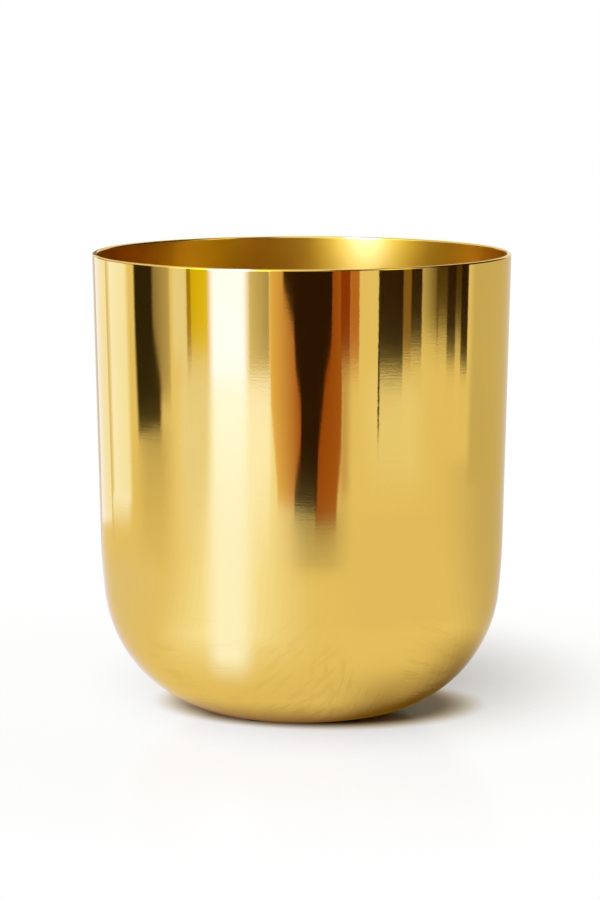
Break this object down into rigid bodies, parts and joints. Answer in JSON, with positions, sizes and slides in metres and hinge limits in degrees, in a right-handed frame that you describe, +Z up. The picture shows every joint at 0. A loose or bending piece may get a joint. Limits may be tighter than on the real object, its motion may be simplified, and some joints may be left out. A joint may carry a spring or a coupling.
{
  "type": "cachepot",
  "caption": "Round spun-metal cachepot with a slightly tapered wall, a large rounded corner and a plain open rim, made to hide a nursery pot and standing on small rubber feet.",
  "frame": {"origin": "on the floor plane, on the pot's axis", "axes": "+Z up along the pot's axis of turning, -Y towards the viewer of the picture"},
  "size_m": [0.14, 0.14, 0.1557],
  "materials": {
    "polished_brass": "mirror polished outside, satin inside, clear lacquer",
    "foot_rubber": "matte moulded rubber"
  },
  "bodies": {
    "root": {"pot_shell": "polished_brass", "bumper_foot_1": "foot_rubber", "bumper_foot_2": "foot_rubber", "bumper_foot_3": "foot_rubber", "bumper_foot_4": "foot_rubber"}
  },
  "joints": []
}
